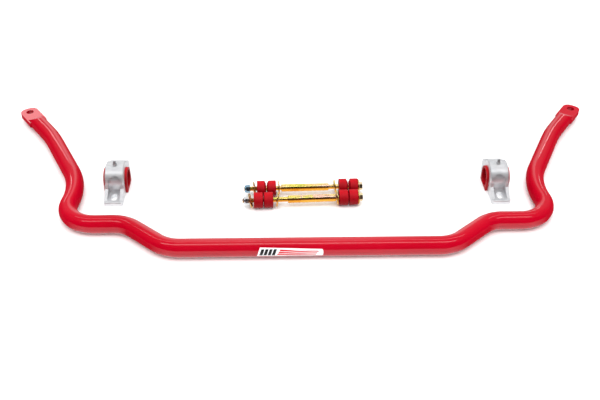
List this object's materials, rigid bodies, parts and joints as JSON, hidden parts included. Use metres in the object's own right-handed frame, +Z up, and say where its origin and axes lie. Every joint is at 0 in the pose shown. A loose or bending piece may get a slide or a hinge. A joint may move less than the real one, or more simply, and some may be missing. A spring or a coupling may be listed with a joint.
{
  "type": "sway bar",
  "caption": "Tubular anti-roll bar kit laid flat: bent red bar with flat end eyes, D bushings in pocketed saddle brackets, and long bolt-through end links with grommets, washers and sleeves.",
  "frame": {"origin": "middle of the footprint, on the floor the kit lies on", "axes": "+X along the bar's centre section, towards its right end; +Y from the centre section towards the end eyes; +Z up"},
  "size_m": [1.2674, 0.513, 0.0641],
  "materials": {
    "red_powder_coat": "gloss",
    "sticker": "gloss",
    "aluminium": "machined",
    "polyurethane": "satin",
    "zinc": "satin",
    "yellow_zinc": "satin",
    "blue_nylon": "satin",
    "white_nylon": "satin"
  },
  "bodies": {
    "bar": {"bar_tube": "red_powder_coat", "left_end_eye": "red_powder_coat", "right_end_eye": "red_powder_coat", "sticker": "sticker"},
    "left_bracket": {"left_bracket": "aluminium", "left_grease_fitting": "zinc"},
    "left_bushing": {"left_bushing": "polyurethane"},
    "right_bracket": {"right_bracket": "aluminium", "right_grease_fitting": "zinc"},
    "right_bushing": {"right_bushing": "polyurethane"},
    "back_link_sleeve": {"back_link_sleeve": "yellow_zinc"},
    "back_link_bolt": {"back_link_bolt": "yellow_zinc"},
    "back_link_nut": {"back_link_nut": "zinc", "back_link_lock_ring": "blue_nylon"},
    "back_link_grommet_1": {"back_link_grommet_1": "polyurethane"},
    "back_link_grommet_2": {"back_link_grommet_2": "polyurethane"},
    "back_link_grommet_3": {"back_link_grommet_3": "polyurethane"},
    "back_link_grommet_4": {"back_link_grommet_4": "polyurethane"},
    "back_link_washer_1": {"back_link_washer_1": "yellow_zinc"},
    "back_link_washer_2": {"back_link_washer_2": "yellow_zinc"},
    "back_link_washer_3": {"back_link_washer_3": "yellow_zinc"},
    "back_link_washer_4": {"back_link_washer_4": "yellow_zinc"},
    "front_link_sleeve": {"front_link_sleeve": "yellow_zinc"},
    "front_link_bolt": {"front_link_bolt": "yellow_zinc"},
    "front_link_nut": {"front_link_nut": "zinc", "front_link_lock_ring": "white_nylon"},
    "front_link_grommet_1": {"front_link_grommet_1": "polyurethane"},
    "front_link_grommet_2": {"front_link_grommet_2": "polyurethane"},
    "front_link_grommet_3": {"front_link_grommet_3": "polyurethane"},
    "front_link_grommet_4": {"front_link_grommet_4": "polyurethane"},
    "front_link_washer_1": {"front_link_washer_1": "yellow_zinc"},
    "front_link_washer_2": {"front_link_washer_2": "yellow_zinc"},
    "front_link_washer_3": {"front_link_washer_3": "yellow_zinc"},
    "front_link_washer_4": {"front_link_washer_4": "yellow_zinc"}
  },
  "joints": [
    {"name": "left_bracket_lift", "type": "slide", "parent": "bar", "child": "left_bracket", "axis": [0, 0, 1], "range_m": [0, 0.12]},
    {"name": "left_bushing_slide", "type": "slide", "parent": "left_bracket", "child": "left_bushing", "axis": [1, 0, 0], "range_m": [-0.03, 0.05]},
    {"name": "right_bracket_lift", "type": "slide", "parent": "bar", "child": "right_bracket", "axis": [0, 0, 1], "range_m": [0, 0.12]},
    {"name": "right_bushing_slide", "type": "slide", "parent": "right_bracket", "child": "right_bushing", "axis": [-1, 0, 0], "range_m": [-0.03, 0.05]},
    {"name": "back_link_lift", "type": "slide", "parent": "bar", "child": "back_link_sleeve", "axis": [0, 0, 1], "range_m": [0, 0.12]},
    {"name": "back_link_bolt_turn", "type": "hinge", "parent": "back_link_sleeve", "child": "back_link_bolt", "pos_m": [0, -0.05122, 0.0155], "axis": [0.9996, 0.0297, 0], "range_deg": [-720, 3240]},
    {"name": "back_link_nut_travel", "type": "slide", "parent": "back_link_sleeve", "child": "back_link_nut", "axis": [0.9996, 0.0297, 0], "range_m": [-0.0143, 0.00318]},
    {"name": "back_link_grommet_1_slide", "type": "slide", "parent": "back_link_sleeve", "child": "back_link_grommet_1", "axis": [0.9996, 0.0297, 0], "range_m": [-0.001, 0.00045]},
    {"name": "back_link_grommet_2_slide", "type": "slide", "parent": "back_link_sleeve", "child": "back_link_grommet_2", "axis": [0.9996, 0.0297, 0], "range_m": [-0.00045, 0.002]},
    {"name": "back_link_grommet_3_slide", "type": "slide", "parent": "back_link_sleeve", "child": "back_link_grommet_3", "axis": [0.9996, 0.0297, 0], "range_m": [-0.0025, 0.0005]},
    {"name": "back_link_grommet_4_slide", "type": "slide", "parent": "back_link_sleeve", "child": "back_link_grommet_4", "axis": [0.9996, 0.0297, 0], "range_m": [-0.0005, 0.0002]},
    {"name": "back_link_washer_1_slide", "type": "slide", "parent": "back_link_sleeve", "child": "back_link_washer_1", "axis": [0.9996, 0.0297, 0], "range_m": [-0.0024, 0.001]},
    {"name": "back_link_washer_2_slide", "type": "slide", "parent": "back_link_sleeve", "child": "back_link_washer_2", "axis": [0.9996, 0.0297, 0], "range_m": [-0.002, 0.0025]},
    {"name": "back_link_washer_3_slide", "type": "slide", "parent": "back_link_sleeve", "child": "back_link_washer_3", "axis": [0.9996, 0.0297, 0], "range_m": [-0.0103, 0.0025]},
    {"name": "back_link_washer_4_turn", "type": "hinge", "parent": "back_link_sleeve", "child": "back_link_washer_4", "pos_m": [0, -0.05122, 0.0155], "axis": [0.9996, 0.0297, 0], "continuous": true},
    {"name": "front_link_lift", "type": "slide", "parent": "bar", "child": "front_link_sleeve", "axis": [0, 0, 1], "range_m": [0, 0.12]},
    {"name": "front_link_bolt_turn", "type": "hinge", "parent": "front_link_sleeve", "child": "front_link_bolt", "pos_m": [0, -0.08912, 0.0155], "axis": [0.9991, 0.0419, 0], "range_deg": [-180, 3240]},
    {"name": "front_link_nut_travel", "type": "slide", "parent": "front_link_sleeve", "child": "front_link_nut", "axis": [0.9991, 0.0419, 0], "range_m": [-0.0143, 0.0008]},
    {"name": "front_link_grommet_1_slide", "type": "slide", "parent": "front_link_sleeve", "child": "front_link_grommet_1", "axis": [0.9991, 0.0419, 0], "range_m": [-0.0007, 0.00045]},
    {"name": "front_link_grommet_2_slide", "type": "slide", "parent": "front_link_sleeve", "child": "front_link_grommet_2", "axis": [0.9991, 0.0419, 0], "range_m": [-0.00045, 0.0028]},
    {"name": "front_link_grommet_3_slide", "type": "slide", "parent": "front_link_sleeve", "child": "front_link_grommet_3", "axis": [0.9991, 0.0419, 0], "range_m": [-0.0004, 0.00025]},
    {"name": "front_link_grommet_4_slide", "type": "slide", "parent": "front_link_sleeve", "child": "front_link_grommet_4", "axis": [0.9991, 0.0419, 0], "range_m": [-0.00025, 0.0002]},
    {"name": "front_link_washer_1_slide", "type": "slide", "parent": "front_link_sleeve", "child": "front_link_washer_1", "axis": [0.9991, 0.0419, 0], "range_m": [-0.0005, 0.0007]},
    {"name": "front_link_washer_2_slide", "type": "slide", "parent": "front_link_sleeve", "child": "front_link_washer_2", "axis": [0.9991, 0.0419, 0], "range_m": [-0.0028, 0.017]},
    {"name": "front_link_washer_3_slide", "type": "slide", "parent": "front_link_sleeve", "child": "front_link_washer_3", "axis": [0.9991, 0.0419, 0], "range_m": [-0.0003, 0.0004]},
    {"name": "front_link_washer_4_turn", "type": "hinge", "parent": "front_link_sleeve", "child": "front_link_washer_4", "pos_m": [0, -0.08912, 0.0155], "axis": [0.9991, 0.0419, 0], "continuous": true}
  ],
  "couplings": [
    {"joint": "back_link_nut_travel", "follows": "back_link_bolt_turn", "m_per_rad": -0.00025266},
    {"joint": "front_link_nut_travel", "follows": "front_link_bolt_turn", "m_per_rad": -0.00025266}
  ]
}
